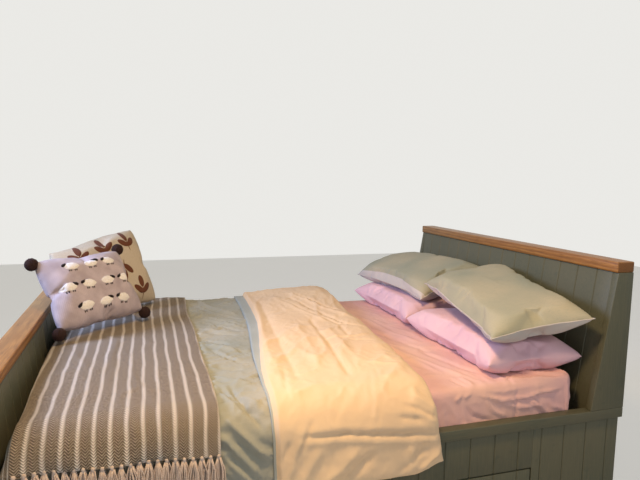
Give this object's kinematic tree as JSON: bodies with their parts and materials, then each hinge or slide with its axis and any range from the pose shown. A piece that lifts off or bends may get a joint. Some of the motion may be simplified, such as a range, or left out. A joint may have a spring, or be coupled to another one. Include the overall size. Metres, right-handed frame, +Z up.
{
  "type": "built-in cabin bed",
  "caption": "Double bed built between two end walls, with boarded base, raked headboard and footboard with timber caps, under-bed drawers and made-up bedding.",
  "frame": {"origin": "on the floor, under the middle of the base", "axes": "+X towards the head end, -Y the open side, +Z up"},
  "size_m": [2.2, 1.5683, 1.2641],
  "materials": {
    "green_paint": "satin painted",
    "oak": "oiled",
    "softwood": "planed",
    "birch_plywood": "sanded",
    "pink_sheet": "woven cotton",
    "sage_cover": "woven cotton",
    "cream_cover": "woven cotton",
    "striped_throw": "herringbone wool",
    "fringe_yarn": "knotted yarn",
    "pink_pillowcase": "woven cotton",
    "sage_pillowcase": "woven cotton",
    "lilac_knit": "knitted wool",
    "oatmeal_linen": "slub linen",
    "pompom_wool": "wool"
  },
  "bodies": {
    "bed": {"back_boards": "green_paint", "back_plinth": "green_paint", "back_rail": "green_paint", "cushion_back": "oatmeal_linen", "cushion_front": "lilac_knit", "cushion_pompoms": "pompom_wool", "deck_slats": "softwood", "drawer_runners": "softwood", "duvet": "sage_cover", "duvet_fold": "cream_cover", "end_boards": "green_paint", "end_plinths": "green_paint", "end_rails": "green_paint", "footboard_back": "green_paint", "footboard_cap": "oak", "footboard_cheeks": "green_paint", "footboard_panel": "green_paint", "footboard_sole": "softwood", "front_boards_foot_side": "green_paint", "front_boards_head_side": "green_paint", "front_boards_middle": "green_paint", "front_boards_over_drawers": "green_paint", "front_plinth": "green_paint", "front_rail": "green_paint", "headboard_back": "green_paint", "headboard_cap": "oak", "headboard_cheeks": "green_paint", "headboard_panel": "green_paint", "headboard_sole": "softwood", "ledgers": "softwood", "mattress": "pink_sheet", "pillow_low_back": "pink_pillowcase", "pillow_low_front": "pink_pillowcase", "pillow_top_back": "sage_pillowcase", "pillow_top_front": "sage_pillowcase", "posts": "softwood", "throw": "striped_throw", "throw_fringe": "fringe_yarn"},
    "drawer_head_side": {"drawer_back_head_side": "birch_plywood", "drawer_bottom_head_side": "birch_plywood", "drawer_front_head_side": "green_paint", "drawer_knobs_head_side": "oak", "drawer_sides_head_side": "birch_plywood"},
    "drawer_foot_side": {"drawer_back_foot_side": "birch_plywood", "drawer_bottom_foot_side": "birch_plywood", "drawer_front_foot_side": "green_paint", "drawer_knobs_foot_side": "oak", "drawer_sides_foot_side": "birch_plywood"}
  },
  "joints": [
    {"name": "drawer_head_side_slide", "type": "slide", "parent": "bed", "child": "drawer_head_side", "axis": [0, -1, 0], "range_m": [0, 0.45]},
    {"name": "drawer_foot_side_slide", "type": "slide", "parent": "bed", "child": "drawer_foot_side", "axis": [0, -1, 0], "range_m": [0, 0.45]}
  ]
}
